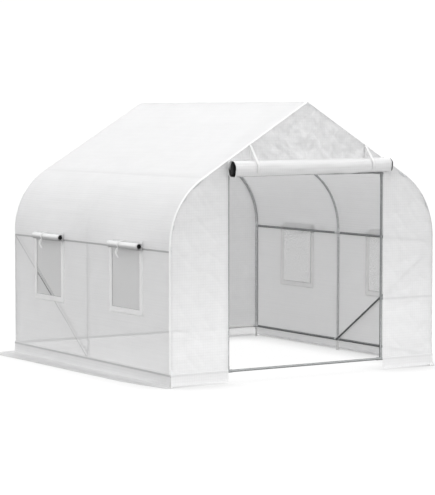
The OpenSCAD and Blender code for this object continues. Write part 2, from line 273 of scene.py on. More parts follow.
# %% Points on the outline
def outline(s, lift=0.0):
    """The point (x, z) of the right half at distance s up the cloth, and its outward direction."""
    if s <= WALL:
        spot, way = Vector((hoop_x + cloth_gap, base_z + s)), Vector((1, 0))
    elif s <= WALL + ARC:
        turn = (s - WALL) / (bend_r + cloth_gap)
        way = Vector((math.cos(turn), math.sin(turn)))
        spot = Vector((arc_x, arc_z)) + (bend_r + cloth_gap) * way
    else:
        way = Vector((math.sin(pitch), math.cos(pitch)))
        spot = Vector((arc_x, arc_z)) + (bend_r + cloth_gap) * way
        spot += (s - WALL - ARC) * Vector((-math.cos(pitch), math.sin(pitch)))
    return spot + lift * way, way


def half_of(s):
    """The side, -1 or 1, that a place s across the whole cover is on, and how far up it is there."""
    return (-1, s) if s < HALF else (1, 2 * HALF - s)


def cover_at(y, s, lift=0.0):
    """A point of the whole cover: s runs up the left half and down the right one."""
    side, up = half_of(s)
    x, z = outline(up, lift)[0]
    return Vector((side * max(x, 0), y, z))


# %% Helpers for cloth
COARSE, FINE = 0.024, 0.022  # the cells of the grids, along straight runs and round bends


def stations(low, high, step, tube_shadows=()):
    """Places from low to high about a step apart, with every mark among them."""
    ends = sorted({round(m, 5) for m in (low, high, *tube_shadows) if low - 1e-6 <= m <= high + 1e-6})
    found = [ends[0]]
    for a, b in zip(ends, ends[1:]):
        n = max(1, round((b - a) / step))
        found += [a + (b - a) * k / n for k in range(1, n + 1)]
    return found


def folds(u, v, angle, long, wide, seed):
    """Noise from -1 to 1 that is stretched along a direction in the sheet, like pulled folds."""
    c, s = math.cos(math.radians(angle)), math.sin(math.radians(angle))
    return noise.noise(Vector(((u * c + v * s) / long, (v * c - u * s) / wide, seed)))


def make_piece(name, shape, material, thick=0.0):
    """A mesh piece on the root body. Its shape is points, faces and each point's place in the flat
    sheet, in metres."""
    points, faces, cut = shape
    mesh = bpy.data.meshes.new(name)
    mesh.from_pydata([tuple(p) for p in points], [], faces)
    mesh.polygons.foreach_set("use_smooth", [True] * len(mesh.polygons))
    corner = np.zeros(len(mesh.loops), np.int32)
    mesh.loops.foreach_get("vertex_index", corner)
    layer = mesh.uv_layers.new(name="Cut")
    layer.data.foreach_set("uv", np.array(cut, np.float32)[corner].ravel())
    mesh.materials.append(material)
    made = bpy.data.objects.new(name, mesh)
    scene.collection.objects.link(made)
    if thick:
        thicken(made, thick)
    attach(made, "root")
    print(f"{name}: {len(points)} points, {len(faces)} faces")
    return made


def thicken(piece, thick):
    solid = piece.modifiers.new("thickness", "SOLIDIFY")
    solid.thickness, solid.offset = thick, 0


def sheet_grid(us, vs, place, keep=lambda u, v: True, flip=False, closed=False):
    """Points, faces and flat places of a sheet. place(u, v) hangs a flat place in space."""
    at, points, cut, faces = {}, [], [], []

    def index(i, j):
        j = j % (len(vs) - 1) if closed else j
        if (i, j) not in at:
            at[i, j] = len(points)
            points.append(place(us[i], vs[j]))
            cut.append((us[i], vs[j]))
        return at[i, j]

    for j in range(len(vs) - 1):
        for i in range(len(us) - 1):
            if keep((us[i] + us[i + 1]) / 2, (vs[j] + vs[j + 1]) / 2):
                face = (index(i, j), index(i + 1, j), index(i + 1, j + 1), index(i, j + 1))
                faces.append(face[::-1] if flip else face)
    return points, faces, cut

# %% [markdown]
# ## The film
#
# Greenhouse film is woven from flat plastic tapes, coated on both faces, with a coarser grid of
# reinforcing threads. It scatters most light back, lets a good part glow through to the other
# face and stays a little see-through. So its shader mixes a satin surface with a translucent one
# and a trace of plain transparency. The weave is drawn in the sheet's own flat metres, its UV
# map, so that it bends with the cloth. A point attribute says where the cover is the thinner
# grade: the walls below the purlins are clearer than the shoulders and the roof, and painted
# shade makes them darker towards the purlin. A second attribute marks the doubled film behind
# each rolled flap, which lets nothing through; there the colour is lifted to pure white, painted
# light against the flap's shadow.
#
# Where a tube lies right behind the film it shows as a soft dark band. Plain transparency gives
# too little of that, so each band is painted shade, drawn on the line of its own tube, taken from
# the frame.

# %% Painted shadows of the tubes behind a sheet
FAR = 9.0
BAND, SOFT_BAND = 0.005, 0.0085  # half the width of a band, without and with its soft edge


def tube_shadows(tree, tubes):
    """The painted shade that the tubes behind a sheet lay on it, as a factor. Each tube is (depth,
    across, offset, limits): a straight line where the shares of x, y, z or q in across add up to
    offset, kept within limits. Here q is the place along Y, turned round on the right wall so that
    both braces lean alike."""
    x, y, z = object_place(tree)
    axes = {"x": x, "y": y, "z": z, "q": y * (x.math("SIGN") * -1.0)}
    total = 0.0
    for depth, across, offset, limits in tubes:
        off_line = sum(axes[axis] * share for axis, share in across.items()) - offset
        band = graded(off_line.math("ABSOLUTE"), BAND, SOFT_BAND, depth, 0.0)
        for axis, low, high in limits:
            band = band * axes[axis].math("GREATER_THAN", low) * axes[axis].math("LESS_THAN", high)
        total = band + total
    return 1.0 - total


def level_shadow(depth, z, limits=()):
    return depth, {"z": 1.0}, z, limits


def brace_shadow(depth, side):
    low, high = (-FAR, 0.0) if side < 0 else (0.0, FAR)
    top = max(v.co.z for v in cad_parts["wall_braces"].data.vertices if v.co.x * side > 0) - 0.008
    tilt = math.atan2(top - rail_z, hoop_y)
    return (depth, {"q": -math.sin(tilt), "z": math.cos(tilt)}, rail_z * math.cos(tilt),
        [("q", 0.0, hoop_y), ("x", low, high), ("z", 0.0, top)])


# Painted shadows: the purlin, middle leg, knee purlin and braces on the wall film, the panel tie on the
# front, the base rail on the skirts.
MIDDLE_LEG_SHADOW = (0.10, {"y": 1.0}, 0.0, [("z", 0.0, purlin_z)])
WALL_SHADOWS = [level_shadow(0.32, purlin_z), MIDDLE_LEG_SHADOW, level_shadow(0.03, knee_z),
    brace_shadow(0.24, -1), brace_shadow(0.24, 1)]
END_SHADOWS = [level_shadow(0.07, tie_z, [("x", 0.5, FAR), ("y", -FAR, 0.0)])]
RAIL_SHADOWS = [level_shadow(0.24, rail_z)]


# %% Film material
def cloth(tree, grey, glow, surface, blue=1.0):
    """A surface mixed with a glow of light from the other side, both in one grey."""
    colour = put(tree, "CombineColor", {0: grey, 1: grey, 2: grey * blue}).outputs[0]
    relief = {"Normal": surface["Normal"]} if "Normal" in surface else {}
    face = put(tree, "BsdfPrincipled", {"Base Color": colour, **surface})
    back = put(tree, "BsdfTranslucent", {"Color": colour, **relief})
    return mixed(tree, glow, face.outputs[0], back.outputs[0])


def see_through(tree, share, shader):
    """A shader that lets this share of the light straight through."""
    air = put(tree, "BsdfTransparent", {"Color": WHITE})
    return mixed(tree, share, shader, air.outputs[0])


def woven_film(name, tone, glow, clear, painted_shade=(0.0, 0.0), tubes=(), streaks=0.06, painted_crease_light=0.0):
    """Film of one tone. glow is the share of light that is scattered to the other side and clear
    the share that goes straight through, each as (thick grade, thin grade). The pair after them is
    how much darker the thin grade is painted at the base rail and at the purlin, painted shade. The
    tubes lay their painted shadows on it, and the last value paints light and dark patches on the
    gable, painted light and shade for its creases."""
    made, tree = new_material(name)
    flat = flat_place(tree)
    up = object_place(tree)[2]
    thin, lined = (Field(put(tree, "Attribute", attribute_name=word).outputs["Fac"])
        for word in ("thin", "lined"))
    threads = texture(tree, "Brick", {"Vector": flat, "Scale": 1.0, "Mortar Size": 0.0016,
        "Mortar Smooth": 0.6, "Brick Width": 0.02, "Row Height": 0.02}, offset=0.0, squash=1.0)
    cloud = texture(tree, "Noise", {"Vector": flat, "Scale": 5.0, "Detail": 4.0, "Roughness": 0.6})
    tapes = {"Vector": flat, "Scale": 125.0, "Distortion": 0.0}
    warp, weft = (texture(tree, "Wave", tapes, bands_direction=way) for way in ("X", "Y"))
    drawn = put(tree, "VectorMath", {0: flat, 1: (1.2, 55.0, 1.0)}, operation="MULTIPLY").outputs[0]
    streak = texture(tree, "Noise", {"Vector": drawn, "Scale": 1.0, "Detail": 3.0, "Roughness": 0.7})

    shade = 1.04 - cloud * 0.06 - streak * streaks - threads * (0.055 - thin * 0.035)
    # Painted shade: the thin grade gets darker from the base rail up to the purlin, and on the rolls it is
    # their dark inner turns and undersides.
    shade = shade * (1.0 - thin * graded(up, base_z, purlin_z, *painted_shade))
    if tubes:
        shade = shade * tube_shadows(tree, tubes)
    # Painted light and shade on the gable: lifted a little above the panels and mottled with light and dark
    # patches for its creases.
    if painted_crease_light:
        gable = graded(up, header_z - 0.05, header_z + 0.10, 0.25, 1.0)
        crease_light_patches = texture(tree, "Noise", {"Vector": flat, "Scale": 11.0, "Detail": 4.0, "Roughness": 0.65,
            "Distortion": 0.7})
        shade = shade * (0.98 + gable * (0.04 + (crease_light_patches - 0.5) * painted_crease_light))
    # Painted light: the lined band is lifted to pure white against the shadow of the rolled flap outside
    # it.
    shade = shade + lined * (1 / tone - shade)

    relief = threads * 0.5 + warp * weft * 0.25 + cloud * 2.0
    bump = put(tree, "Bump", {"Height": relief, "Strength": 0.35, "Distance": 0.004})
    glowing, open_ = ((thick + thin * (fine - thick)) * (1.0 - lined) for thick, fine in (glow, clear))
    body = cloth(tree, shade * tone, glowing, {"Roughness": 0.42, "Specular IOR Level": 0.35,
        "Normal": bump.outputs[0]}, blue=1.004)
    return finished(made, see_through(tree, open_, body))

# %% [markdown]
# The sheets are cut from several rolls of film. The two ends are greyer and creased, with painted
# light and shade on the gable's creases, the skirts are nearly opaque except the clearer rear one
# and carry the base rail's painted shadow, and the rolled film is painted dark where its inner turns
# get no light and a little darker on its underside, painted shade that its thin grade stands for.

# %% The films
cover_film = woven_film("cover_film", 0.965, glow=(0.32, 0.13), clear=(0.0, 0.20), painted_shade=(0.025, 0.10),
    tubes=WALL_SHADOWS, streaks=0.08)
end_film = woven_film("end_film", 0.91, glow=(0.12, 0.12), clear=(0.15, 0.15), tubes=END_SHADOWS,
    painted_crease_light=0.5)
# The skirts carry the base rail's painted shadow.
skirt_film = woven_film("skirt_film", 0.95, glow=(0.32, 0.32), clear=(0.08, 0.08), tubes=RAIL_SHADOWS)
front_skirt_film = woven_film("front_skirt_film", 0.93, glow=(0.20, 0.20), clear=(0.08, 0.08),
    tubes=[level_shadow(0.06, rail_z)])
rear_skirt_film = woven_film("rear_skirt_film", 0.95, glow=(0.32, 0.32), clear=(0.35, 0.35),
    tubes=RAIL_SHADOWS)
# The rolled film's thin grade is painted shade: it darkens the film almost to black.
rolled_film = woven_film("rolled_film", 0.95, glow=(0.05, 0.0), clear=(0.0, 0.0), painted_shade=(0.96, 0.96),
    streaks=0.25)
print("six films")

# %% [markdown]
# ## Steel
#
# Galvanised tube is dull zinc over steel: a metal with soft patchy reflections. The patches come
# from noise on object coordinates, which fits tubes of any direction, and the same noise drives
# the roughness so that bright and dull patches agree. The imported tubes keep their meshes. The
# zinc comes in lit and shaded copies: the bent hoops are lighter than the straight tubes, painted
# light for the bright room they reflect, and the rear rail is the darkest, painted shade. The
# fittings are lighter too, and the front base rails and the door posts' fittings a middle grey.
# Below the base rails every tube end stands in a pale plastic sleeve, and the right length of the
# rear rail lies in one too, so that they don't show against the skirts.

# %% Steel material
SLEEVE, SLEEVE_TOP = (0.96, 0.96, 0.95, 1), rail_z - 0.013


def zinc(name, dark, light, rough, sleeve_from=FAR):
    """Zinc between two tones, with a sleeve over it near the ground and past a place along X."""
    made, tree = new_material(name)
    place = put(tree, "TexCoord").outputs["Object"]
    patch = texture(tree, "Noise", {"Vector": place, "Scale": 55.0, "Detail": 5.0, "Roughness": 0.62})
    spangle = Field(put(tree, "TexVoronoi", {"Vector": place, "Scale": 160.0}).outputs["Distance"])
    amount = patch * 0.75 + spangle * 0.3
    tones = put(tree, "ValToRGB", {"Fac": amount})
    for stop, tone, position in zip(tones.color_ramp.elements, (dark, light), (0.3, 0.75)):
        stop.color = (*tone, 1)
        stop.position = position
    x, _, z = split(tree, place)
    sleeve = z.math("LESS_THAN", SLEEVE_TOP).math("MAXIMUM", x.math("GREATER_THAN", sleeve_from))
    colour = put(tree, "MixRGB", {0: sleeve, 1: tones.outputs[0], 2: SLEEVE})
    bump = put(tree, "Bump", {"Height": patch, "Strength": 0.15, "Distance": 0.0006})
    metal = put(tree, "BsdfPrincipled", {"Base Color": colour.outputs[0], "Metallic": 1.0 - sleeve,
        "Roughness": graded(amount, 0.0, 1.0, rough - 0.08, rough + 0.12), "Normal": bump.outputs[0]})
    return finished(made, metal.outputs[0])


# %% Steel on the imported tubes and fittings
# One zinc in lit and shaded copies: the hoops are painted lighter for the bright room they reflect, the
# rear rail painted almost black as shade.
ZINCS = [
    (zinc("galvanised_tube", (0.25, 0.26, 0.26), (0.40, 0.41, 0.415), 0.42),
        ("rails", "rail", "purlins", "poles", "posts", "header", "tie", "braces")),
    (zinc("galvanised_hoop_lit", (0.52, 0.53, 0.53), (0.72, 0.73, 0.74), 0.40), ("legs", "bends", "rafters")),
    (zinc("galvanised_fitting", (0.64, 0.65, 0.65), (0.84, 0.85, 0.86), 0.46), ("fittings", "feet")),
    (zinc("galvanised_rail", (0.36, 0.37, 0.37), (0.50, 0.51, 0.515), 0.66),
        ("front_base_rails", "door_post_fittings")),
    (zinc("galvanised_rear_rail_shaded", (0.10, 0.105, 0.11), (0.17, 0.175, 0.18), 0.42, sleeve_from=0.4),
        ("rear_base_rail",))]
zinc_of = {word: made for made, words in ZINCS for word in words}
for name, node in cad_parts.items():
    material = zinc_of.get(name) or zinc_of.get(name.split("_")[-1])
    if material:
        node.data.materials.clear()
        node.data.materials.append(material)
        print("zinc on", name)

# %% [markdown]
# ## The cover
#
# On the real greenhouse one sheet goes from the left base rail over the ridge to the right one,
# so it is modelled as one sheet too. It rests on the hoops and the long tubes and sags a little
# between them, and it turns round the outer hoops at the front and rear. Cut lines for the
# windows are among the grid's stations, so that the openings have clean edges.

# %% Where the windows are
SIDES = ((-1, "left"), (1, "right"))
ROWS = ("front", "rear")


def spans(node, axis):
    """The (low, high) places of a node's two separate parts along an axis."""
    found = sorted({round(v.co[axis], 4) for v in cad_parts[node].data.vertices})
    return [(found[0], found[1]), (found[-2], found[-1])]


WINDOWS = {side: spans(f"{word}_window_meshes", 1) for side, word in SIDES}
sill_z, lintel_z = (corner.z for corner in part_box("left_window_meshes"))
SILL, LINTEL = sill_z - base_z, lintel_z - base_z
TAPE = sill_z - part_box("window_bindings")[0].z
UNDER = TAPE - 0.008  # the cover ends this far outside the opening, under the tape
LINED = 0.06
print(f"windows: {WINDOWS[1]} along the wall, tape {TAPE:.3f} m wide")

# %% How the cover hangs
SAGS = [(0.0, PURLIN, 0.004), (PURLIN, KNEE, 0.014), (KNEE, HALF, 0.010)]  # from, to, how deep


def unit(value):
    """A value kept from 0 to 1."""
    return min(1.0, max(0.0, value))


def slack(y, up):
    """How far the cover hangs in from the straight line between its supports."""
    share = min(abs(y), hoop_y) / hoop_y
    bay = 4 * share * (1 - share)
    for low, high, depth in SAGS:
        if low <= up <= high:
            return bay * depth * math.sin(math.pi * (up - low) / (high - low))
    return 0.0


def pulls(y, s):
    """Small folds in the cover: long ones along the shoulders, faint ones elsewhere."""
    up = half_of(s)[1]
    share = min(abs(y), hoop_y) / hoop_y
    held = min(1.0, 6 * share * (1 - share)) * min(1.0, up / 0.06, abs(up - PURLIN) / 0.05)
    long = folds(y, s, 0, 0.55, 0.045, 3.1) * 0.0012 + folds(y, s, 4, 0.9, 0.11, 9.4) * 0.0016
    low = folds(y, s, 62, 0.30, 0.16, 5.5) * 0.0016 + folds(y, s, -48, 0.34, 0.15, 1.7) * 0.0014
    above = unit((up - PURLIN + 0.1) / 0.2)
    fade = 1 - 0.75 * unit((up - KNEE) / 0.2)
    return held * fade * (above * long + (1 - above) * low)


# %% How it turns round the end hoops
turned = cloth_gap * math.pi / 4
TURN_US = [turned * k / 3 for k in (1, 2, 3)]
rim_lift = cloth_gap * (math.cos(math.pi / 4) - 1)
rim_y = hoop_y + cloth_gap * math.sin(math.pi / 4)
rim_x = hoop_x + cloth_gap + rim_lift


def round_end(u, extra=0.0):
    """Where the flat place u along the cover lies: (y, lift). Past a hoop it turns round it."""
    past = abs(u) - hoop_y
    if past <= 0:
        return u, extra
    turn = min(past / cloth_gap, math.pi / 2)
    r = cloth_gap + extra
    rest = past - cloth_gap * math.pi / 2
    lift = r * math.cos(turn) - cloth_gap - max(rest, 0)
    return math.copysign(hoop_y + r * math.sin(turn), u), lift


def on_cover(u, s, extra):
    """A point off the cover's outline by extra metres, wherever the flat place u lies."""
    y, lift = round_end(u, extra)
    return cover_at(y, s, lift)


def hang(u, s):
    """A point of the hanging cover, with its sag and its folds."""
    y, lift = round_end(u)
    if abs(u) < hoop_y:
        lift += pulls(y, s) - slack(y, half_of(s)[1])
    return cover_at(y, s, lift)


def wall_at(side, y, z, lift):
    """A point just off the hanging wall of one side."""
    s = z - base_z
    return hang(y, s if side < 0 else 2 * HALF - s) + Vector((side * lift, 0, 0))


# %% The cover sheet
sides = [edge for side in WINDOWS.values() for low, high in side for edge in (low - UNDER, high + UNDER)]
us = stations(-hoop_y, hoop_y, COARSE, [0, *sides])
us = [-hoop_y - u for u in TURN_US[::-1]] + us + [hoop_y + u for u in TURN_US]
half_s = stations(0, HALF, FINE, [SILL - UNDER, LINTEL, PURLIN, PURLIN - 0.004, PURLIN + 0.004, WALL,
    WALL + ARC, KNEE, HALF - 0.012])
ss = half_s + [2 * HALF - s for s in half_s[-2::-1]]


def is_cloth(u, s):
    """Whether there is film at a flat place, and no window."""
    side, up = half_of(s)
    beside = any(low - UNDER < u < high + UNDER for low, high in WINDOWS[side])
    return not (SILL - UNDER < up < LINTEL and beside)


def is_lined_and_lit(u, s):
    """A second layer is sewn behind the rolled flaps, over the head of each window; its colour is
    lifted to pure white, painted light against the flaps' shadow.
    """
    side, up = half_of(s)
    return LINTEL - 0.001 < up < LINTEL + LINED and any(low < u < high for low, high in WINDOWS[side])


shape = sheet_grid(us, ss, hang, is_cloth, flip=True)
cover = make_piece("tunnel_cover", shape, cover_film)
for name, found in (("thin", lambda u, s: half_of(s)[1] < PURLIN), ("lined", is_lined_and_lit)):
    layer = cover.data.attributes.new(name, "FLOAT", "POINT")
    layer.data.foreach_set("value", [float(found(u, s)) for u, s in shape[2]])
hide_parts("left_roof_cover", "right_roof_cover", "left_shoulder_cover", "right_shoulder_cover",
    "left_wall_cover", "right_wall_cover")
low, high = WINDOWS[1][0]

# %% [markdown]
# ## The ends
#
# The front is one flat sheet with the doorway cut out of it, from the base rail up to the ridge,
# and the rear is a whole one. A flat sheet of an odd outline is easiest to fill with triangles:
# a square grid of points goes inside the outline and a constrained triangulation joins them. Then
# the folds are pressed in along the depth. The gable is loose and creased, the panels are tauter.


# %% Filling a flat outline
def line(a, b):
    """Points from a up to b, without b itself."""
    a, b = Vector(a), Vector(b)
    n = max(1, round((b - a).length / COARSE))
    return [a.lerp(b, k / n) for k in range(n)]


def fill_flat(border, step):
    """Triangles over the inside of a border, as flat points and faces."""
    n = len(border)
    a_x, a_z = np.array([p.x for p in border]), np.array([p.y for p in border])
    b_x, b_z = np.roll(a_x, -1), np.roll(a_z, -1)
    inner = []
    for z in np.arange(a_z.min() + step, a_z.max(), step):
        for x in np.arange(a_x.min() + step, a_x.max(), step):
            if ((a_x - x) ** 2 + (a_z - z) ** 2).min() < (0.6 * step) ** 2:
                continue
            cuts = (a_z > z) != (b_z > z)
            at = a_x[cuts] + (z - a_z[cuts]) * (b_x[cuts] - a_x[cuts]) / (b_z[cuts] - a_z[cuts])
            if (at > x).sum() % 2:
                inner.append(Vector((x, z)))
    edges = [(k, (k + 1) % n) for k in range(n)]
    found = geometry.delaunay_2d_cdt(list(border) + inner, edges, [], 1, 1e-5)
    return found[0], found[2]


def area_of(flat_points, triangles):
    return sum(geometry.area_tri(*(flat_points[k].to_3d() for k in t)) for t in triangles)


# %% Outline and folds of the ends
end_side = [Vector((rim_x, base_z + s)) for s in stations(0, WALL, COARSE)]
end_arc = [outline(s, rim_lift)[0] for s in stations(WALL, WALL + ARC, FINE)][1:]
end_slope = [outline(s, rim_lift)[0] for s in stations(WALL + ARC, HALF, COARSE)][1:]
end_half = end_side + end_arc + [p for p in end_slope if p.x > 0.004]
end_top = Vector((0, end_arc[-1].y + end_arc[-1].x * math.tan(pitch)))
border = [Vector((-p.x, p.y)) for p in end_half] + [end_top] + end_half[::-1]
rim = {(round(p.x, 4), round(p.y, 4)) for p in border}
door_right = panel_x + 0.004  # this edge leaves its post in full view


def stretched(p, fold):
    """How far out an end sheet stands: it is drawn back round the hoop at its rim."""
    return rim_y if (round(p.x, 4), round(p.y, 4)) in rim else hoop_y + cloth_gap + fold


def front_folds(x, z):
    """How far the front film stands out in front of its flat place."""
    gable = unit((z - header_z + 0.05) / 0.2)
    side = 1 if x > 0 else -1
    below_rim = unit((end_top.y - abs(x) * math.tan(pitch) - z) / 0.12)
    loose = folds(x, z, side * 40, 0.34, 0.07, 2.3) * 0.009
    loose += folds(x, z, -side * 55, 0.28, 0.09, 7.7) * 0.008
    for angle, seed in ((side * 62, 4.2), (-side * 35, 12.6), (side * 15, 15.1)):
        loose -= 0.006 * (1 - abs(folds(x, z, angle, 0.20, 0.055, seed))) ** 5
    taut = folds(x, z, 84, 0.6, 0.10, 6.1) * 0.003 + folds(x, z, 8, 0.4, 0.09, 8.8) * 0.0025
    for angle, seed in ((20, 3.7), (-50, 10.4)):
        taut -= 0.003 * (1 - abs(folds(x, z, angle, 0.30, 0.09, seed))) ** 6
    edge = min(1.0, abs(abs(x) - panel_x) / 0.05, (hoop_x - abs(x)) / 0.03 + 0.1)
    return gable * below_rim * loose + (1 - gable) * max(edge, 0) * taut


def rear_folds(x, z):
    """How far the rear film stands out behind its flat place."""
    return folds(x, z, 75, 0.6, 0.12, 3.3) * 0.0025 + folds(x, z, -20, 0.4, 0.10, 5.3) * 0.002


# %% The front sheet
doorway = [(door_right, base_z), (door_right, header_z), (-panel_x, header_z), (-panel_x, base_z)]
door_edge = [p for a, b in zip(doorway, doorway[1:]) for p in line(a, b)] + [Vector(doorway[-1])]
flat_points, triangles = fill_flat(border + line((rim_x, base_z), doorway[0])[1:] + door_edge
    + line(doorway[-1], (-rim_x, base_z))[1:], 0.015)
points = [Vector((p.x, -stretched(p, front_folds(p.x, p.y)), p.y)) for p in flat_points]
front = make_piece("front_cover", (points, triangles, flat_points), end_film)
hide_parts("front_gable_cover", "front_left_panel", "front_right_panel")
area = area_of(flat_points, triangles)

# %% The rear sheet
flat_points, triangles = fill_flat(border + line((rim_x, base_z), (-rim_x, base_z))[1:], FINE)
points = [Vector((p.x, stretched(p, rear_folds(p.x, p.y)), p.y)) for p in flat_points]
shape = (points, [t[::-1] for t in triangles], flat_points)
rear = make_piece("rear_cover_sheet", shape, end_film)
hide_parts("rear_cover")
area_of(flat_points, triangles)

# %% [markdown]
# ## Hems
#
# The front and rear edges of the cover are folded over and sewn down, so two layers of film lie
# round each outer hoop. That doubled edge is opaque and catches the light as a bright line. It
# is a strip that follows the same outline just outside the cover, given a thickness of its own.


# %% Tape material
def tape_material(name, tone, glow, rough, rib, edge=0.0):
    """Ribbed tape with a little dirt. Nearer than edge metres to its inner edge it is darker, a
    painted shadow along the opening.
    """
    made, tree = new_material(name)
    flat = flat_place(tree)
    ribs = texture(tree, "Wave", {"Vector": flat, "Scale": rib, "Distortion": 0.3},
        bands_direction="DIAGONAL")
    dirt = texture(tree, "Noise", {"Vector": flat, "Scale": 30.0, "Detail": 3.0})
    grey = tone - dirt * 0.04
    if edge:
        grey = grey * (1.0 - split(tree, flat)[1].math("LESS_THAN", edge) * 0.45)
    bump = put(tree, "Bump", {"Height": ribs + dirt * 1.5, "Strength": 0.4, "Distance": 0.0015})
    body = cloth(tree, grey, glow, {"Roughness": rough, "Specular IOR Level": 0.3,
        "Normal": bump.outputs[0]})
    return finished(made, body)


hem_tape = tape_material("hem_tape", 0.99, glow=0.0, rough=0.5, rib=150)
# The window tape's dark inner edge is a painted shadow.
window_tape = tape_material("window_tape", 0.99, glow=0.26, rough=0.5, rib=150, edge=0.005)
webbing = tape_material("webbing", 0.95, glow=0.05, rough=0.7, rib=220)
print("three tapes")

# %% The front and rear hems
HEM_LIFT = 0.0011
hem_us = stations(-0.006, 0, 0.003) + TURN_US + [turned + 0.001]
for name, end in (("front_hem", -1), ("rear_hem", 1)):
    shape = sheet_grid([end * (hoop_y + u) for u in hem_us], ss,
        lambda u, s: on_cover(u, s, HEM_LIFT), flip=end > 0)
    hem = make_piece(name, shape, hem_tape, thick=0.0012)
    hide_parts("edge_hems")

# %% [markdown]
# ## Windows
#
# Each window is an opening in the wall with a fine insect net behind it and a broad folded tape
# sewn round its edge. The net is a sheet whose threads are drawn by its material: the gaps
# between threads are transparent. The tape is one ring, a little crowned, with mitred corners.

# %% Net material
THREAD_PITCH, THREAD_SHARE = 0.0016, 0.52
insect_net, tree = new_material("insect_net")
gap = 1.0
for place in split(tree, flat_place(tree))[:2]:
    gap = (place / THREAD_PITCH).math("FRACT").math("GREATER_THAN", THREAD_SHARE) * gap
# Painted shade: the braces' shadows are drawn on the net as well.
grey = tube_shadows(tree, [brace_shadow(0.8, side) for side, _ in SIDES]) * 0.72
threads = cloth(tree, grey, 0.25, {"Roughness": 0.5})
finished(insect_net, see_through(tree, gap, threads))
print(f"net: a thread every {THREAD_PITCH * 1000:.1f} mm")

# %% Shapes round a window
NET_UNDER, NET_BACK = 0.003, 0.0016
TAPE_STEPS = [0.0, 0.001, 0.004, 0.012, TAPE / 2, TAPE - 0.012, TAPE - 0.004, TAPE - 0.001, TAPE]
TAPE_RISE = [0.0003, 0.0016, 0.0026, 0.0024, 0.0020, 0.0024, 0.0026, 0.0016, 0.0003]


def round_window(a, b, w, n):
    """Places (y, z, run) round an outline w outside a window, n to a side, run metres along it."""
    corners = [(a - w, sill_z - w), (b + w, sill_z - w), (b + w, lintel_z + w), (a - w, lintel_z + w)]
    found, run = [], 0.0
    for (y0, z0), (y1, z1) in zip(corners, corners[1:] + corners[:1]):
        long = math.hypot(y1 - y0, z1 - z0)
        found += [(y0 + (y1 - y0) * k / n, z0 + (z1 - z0) * k / n, run + long * k / n) for k in range(n)]
        run += long
    return found


def tape_ring(side, a, b):
    """Points, faces and flat places of the tape round one window, from its inner edge out."""
    points, faces, cut = [], [], []
    for w, rise in zip(TAPE_STEPS, TAPE_RISE):
        ring = round_window(a, b, w, 16)
        for y, z, run in ring:
            swell = 1 + 0.5 * folds(y, z, 0, 0.05, 0.05, 6.6)
            points.append(wall_at(side, y, z, rise * swell))
            cut.append((run, w))
    n = len(ring)
    for j in range(len(TAPE_STEPS) - 1):
        for i in range(n):
            quad = (j * n + i, j * n + (i + 1) % n, (j + 1) * n + (i + 1) % n, (j + 1) * n + i)
            faces.append(quad if side < 0 else quad[::-1])
    return points, faces, cut


def net_at(side, y, z):
    """A point of the net, close behind the wall."""
    return wall_at(side, y, z, folds(y, z, 70, 0.3, 0.12, 4.4) * 0.001 - NET_BACK)


# %% Nets, their tapes and the lines that these are sewn along
seams = []
for side, word in SIDES:
    for (a, b), row in zip(WINDOWS[side], ROWS):
        shape = sheet_grid(stations(a - NET_UNDER, b + NET_UNDER, FINE),
            stations(sill_z - NET_UNDER, lintel_z + NET_UNDER, FINE), lambda y, z: net_at(side, y, z),
            flip=side < 0)
        net = make_piece(f"{word}_{row}_net", shape, insect_net)
        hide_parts(f"{word}_window_meshes")
        tape = make_piece(f"{word}_{row}_window_tape", tape_ring(side, a, b), window_tape)
        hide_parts("window_bindings")
        for w in (0.004, TAPE - 0.004):
            seam = [wall_at(side, y, z, 0.0036) for y, z, _ in round_window(a, b, w, 24)]
            seams.append(seam + seam[:1])

# %% [markdown]
# ## Rolled door and window flaps
#
# A rolled sheet follows a rule, so Geometry Nodes make it. A flat grid is bent point by point:
# a place w metres down the sheet first hangs straight from its seam, then runs round a spiral
# whose turns lie one pitch apart. For such a spiral the radius after a run of film q is
# sqrt(R^2 - pitch * q / pi), so the cloth keeps its true length. Folds push all turns in or out
# together, which keeps them from cutting through each other, and each turn ends a little
# unevenly, as in a door rolled by hand. The side hems make the roll thicker at both ends. The
# door was rolled from one side, so its roll tapers, is tilted a little and slumps below. The
# flaps' undersides are painted darker, painted shade, and the inner turns are painted dark,
# because no light reaches them.


# %% Helpers for Geometry Nodes trees
def new_tree(name, sockets):
    """An empty Geometry Nodes tree with named inputs, and these inputs by name."""
    tree = bpy.data.node_groups.new(name, "GeometryNodeTree")
    for label, kind in {"Geometry": "Geometry", **sockets}.items():
        tree.interface.new_socket(label, in_out="INPUT", socket_type=f"NodeSocket{kind}")
    tree.interface.new_socket("Geometry", in_out="OUTPUT", socket_type="NodeSocketGeometry")
    return tree, {socket.name: Field(socket) for socket in put(tree, "NodeGroupInput").outputs}


def finish_tree(tree, shape, material):
    """Ends a tree in Realize Instances and Set Material."""
    real = put(tree, "GeometryNodeRealizeInstances", {0: shape})
    painted = put(tree, "GeometryNodeSetMaterial", {"Geometry": real.outputs[0], "Material": material})
    put(tree, "NodeGroupOutput", {0: painted.outputs[0]})
    print(f"{tree.name} tree: {len(tree.nodes)} nodes")


def run_tree(tree, name, values, points=((0, 0, 0),), edges=()):
    """The plain mesh that a tree makes of some points and edges with these input values."""
    mesh = bpy.data.meshes.new(name)
    mesh.from_pydata([tuple(p) for p in points], list(edges), [])
    held = bpy.data.objects.new(name, mesh)
    scene.collection.objects.link(held)
    modifier = held.modifiers.new("tree", "NODES")
    modifier.node_group = tree
    for item in tree.interface.items_tree:
        if item.in_out == "INPUT" and item.name in values:
            modifier[item.identifier] = values[item.name]
    made = bpy.data.meshes.new_from_object(held.evaluated_get(bpy.context.evaluated_depsgraph_get()))
    held.modifiers.clear()
    held.data = made
    made.name = name
    return held


